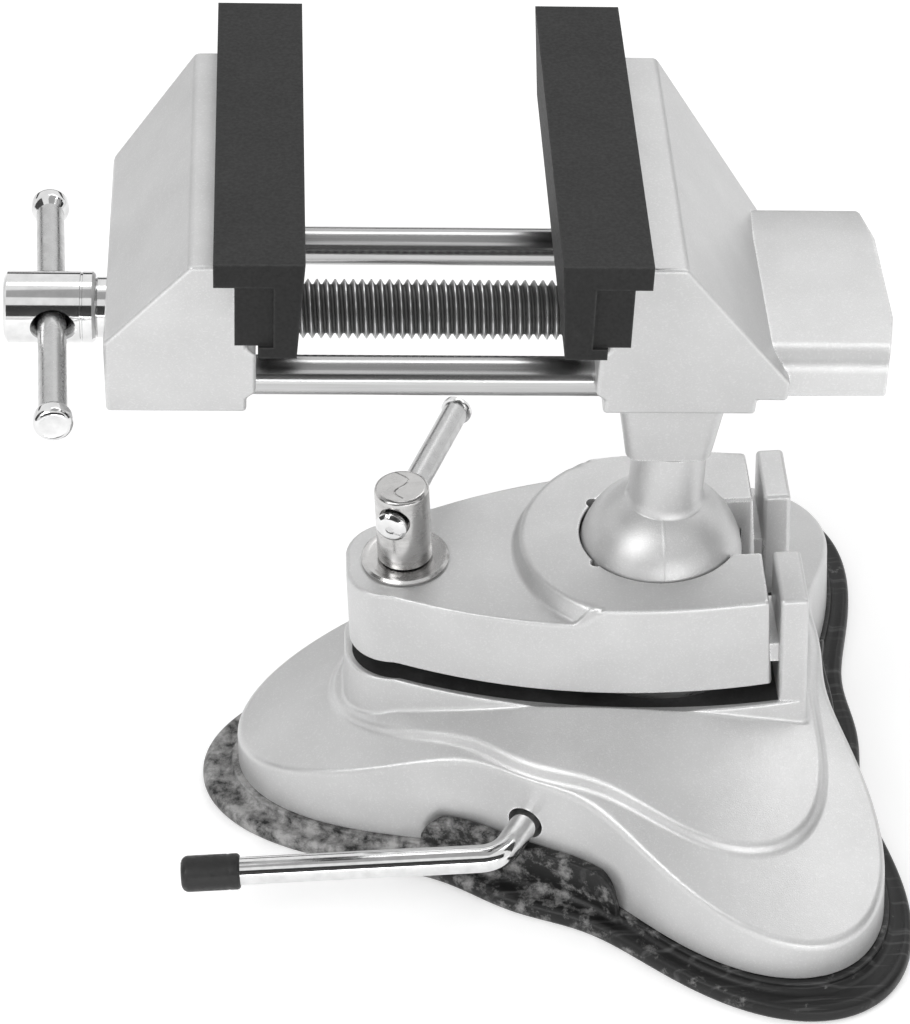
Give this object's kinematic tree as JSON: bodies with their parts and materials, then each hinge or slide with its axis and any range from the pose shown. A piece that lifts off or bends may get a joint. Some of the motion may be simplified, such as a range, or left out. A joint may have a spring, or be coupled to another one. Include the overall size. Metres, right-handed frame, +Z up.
{
  "type": "suction base vise",
  "caption": "Small bench vise whose rubber faced jaws run on two rods and a screw, on a clamped ball swivel over a suction foot worked by a lever.",
  "frame": {"origin": "centre of the flat underside of the suction pad, on the bench", "axes": "+Z up, +X towards the fixed jaw and the two posts, -Y towards the side with the suction lever"},
  "size_m": [0.1491, 0.1368, 0.142],
  "materials": {
    "cast_silver": "bead blasted light silver casting with a fine sparkle and bright softened edges",
    "rubber_black": "satin black rubber with dusty grey scuffs",
    "rubber_charcoal": "matte dark charcoal rubber with faint pale specks",
    "polished_steel": "drawn and polished steel with faint lengthwise streaks",
    "thread_steel": "cut thread, bright crests and darker roots",
    "chrome": "bright chrome plate",
    "satin_nickel": "satin nickel plate",
    "zinc_steel": "dull zinc plated steel",
    "brass": "plain turned brass",
    "black_grip": "black moulded grip with a soft sheen"
  },
  "bodies": {
    "base": {"base_housing": "cast_silver", "suction_pad": "rubber_black", "ball_cup": "zinc_steel"},
    "pad_lifter": {"lift_plate": "zinc_steel", "lift_stud": "zinc_steel"},
    "lever": {"lever_rod": "chrome", "lever_cam": "zinc_steel", "lever_clip": "zinc_steel", "lever_grip": "black_grip"},
    "clamp_stud_body": {"clamp_stud": "thread_steel"},
    "clamp_knob": {"clamp_barrel": "satin_nickel"},
    "clamp_handle": {"clamp_bar": "chrome", "clamp_bar_caps": "chrome"},
    "clamp_cover": {"clamp_plate": "cast_silver", "clamp_washer": "satin_nickel"},
    "ball_body": {"ball": "cast_silver"},
    "neck_body": {"neck": "cast_silver"},
    "head": {"fixed_jaw": "cast_silver", "fixed_jaw_pad": "rubber_charcoal", "spindle_nut": "brass"},
    "sliding_jaw": {"moving_jaw": "cast_silver", "moving_jaw_pad": "rubber_charcoal", "guide_rod_front": "polished_steel", "guide_rod_back": "polished_steel", "rod_pins": "zinc_steel"},
    "screw": {"spindle": "thread_steel", "spindle_clip": "zinc_steel", "spindle_collar": "chrome", "spindle_hub": "chrome"},
    "screw_handle": {"tommy_bar": "chrome", "tommy_bar_caps": "chrome"}
  },
  "joints": [
    {"name": "ball_tilt_side", "type": "hinge", "parent": "base", "child": "ball_body", "pos_m": [0.0076, 0, 0.049], "axis": [1, 0, 0], "range_deg": [-20, 20]},
    {"name": "ball_tilt_slot", "type": "hinge", "parent": "ball_body", "child": "neck_body", "pos_m": [0.0076, 0, 0.049], "axis": [0, 1, 0], "range_deg": [-24, 86]},
    {"name": "head_spin", "type": "hinge", "parent": "neck_body", "child": "head", "pos_m": [0.0076, 0, 0.049], "axis": [0.0698, 0, 0.9976], "continuous": true},
    {"name": "jaw_slide", "type": "slide", "parent": "head", "child": "sliding_jaw", "axis": [0.9976, 0, -0.0698], "range_m": [-0.015, 0.0388]},
    {"name": "spindle_spin", "type": "hinge", "parent": "sliding_jaw", "child": "screw", "pos_m": [0.00985, 0, 0.10127], "axis": [0.9976, 0, -0.0698], "range_deg": [-3601, 9313]},
    {"name": "tommy_bar_slide", "type": "slide", "parent": "screw", "child": "screw_handle", "axis": [-0.0539, 0.9985, 0.0038], "range_m": [-0.0202, 0.0219]},
    {"name": "clamp_spin", "type": "hinge", "parent": "clamp_stud_body", "child": "clamp_knob", "pos_m": [-0.0371, 0, 0.055], "axis": [0, 0, 1], "range_deg": [0, 576.3]},
    {"name": "clamp_lift", "type": "slide", "parent": "base", "child": "clamp_stud_body", "axis": [0, 0, 1], "range_m": [0, 0.0016]},
    {"name": "clamp_cover_tilt", "type": "hinge", "parent": "base", "child": "clamp_cover", "pos_m": [0.0276, 0, 0.042], "axis": [0, 1, 0], "range_deg": [0, 1.2]},
    {"name": "clamp_bar_slide", "type": "slide", "parent": "clamp_knob", "child": "clamp_handle", "axis": [0.3681, 0.9298, 0], "range_m": [-0.0228, 0]},
    {"name": "lever_turn", "type": "hinge", "parent": "base", "child": "lever", "pos_m": [0, 0, 0.0155], "axis": [0.5, 0.866, 0], "range_deg": [0, 170]},
    {"name": "pad_lift", "type": "slide", "parent": "base", "child": "pad_lifter", "axis": [0, 0, 1], "range_m": [0, 0.003]}
  ],
  "couplings": [
    {"joint": "spindle_spin", "follows": "jaw_slide", "rad_per_m": 4188.8},
    {"joint": "clamp_spin", "follows": "clamp_lift", "rad_per_m": 6283.2},
    {"joint": "clamp_cover_tilt", "follows": "clamp_lift", "rad_per_m": 13.09},
    {"joint": "pad_lift", "follows": "lever_turn", "m_per_rad": 0.0010111}
  ]
}
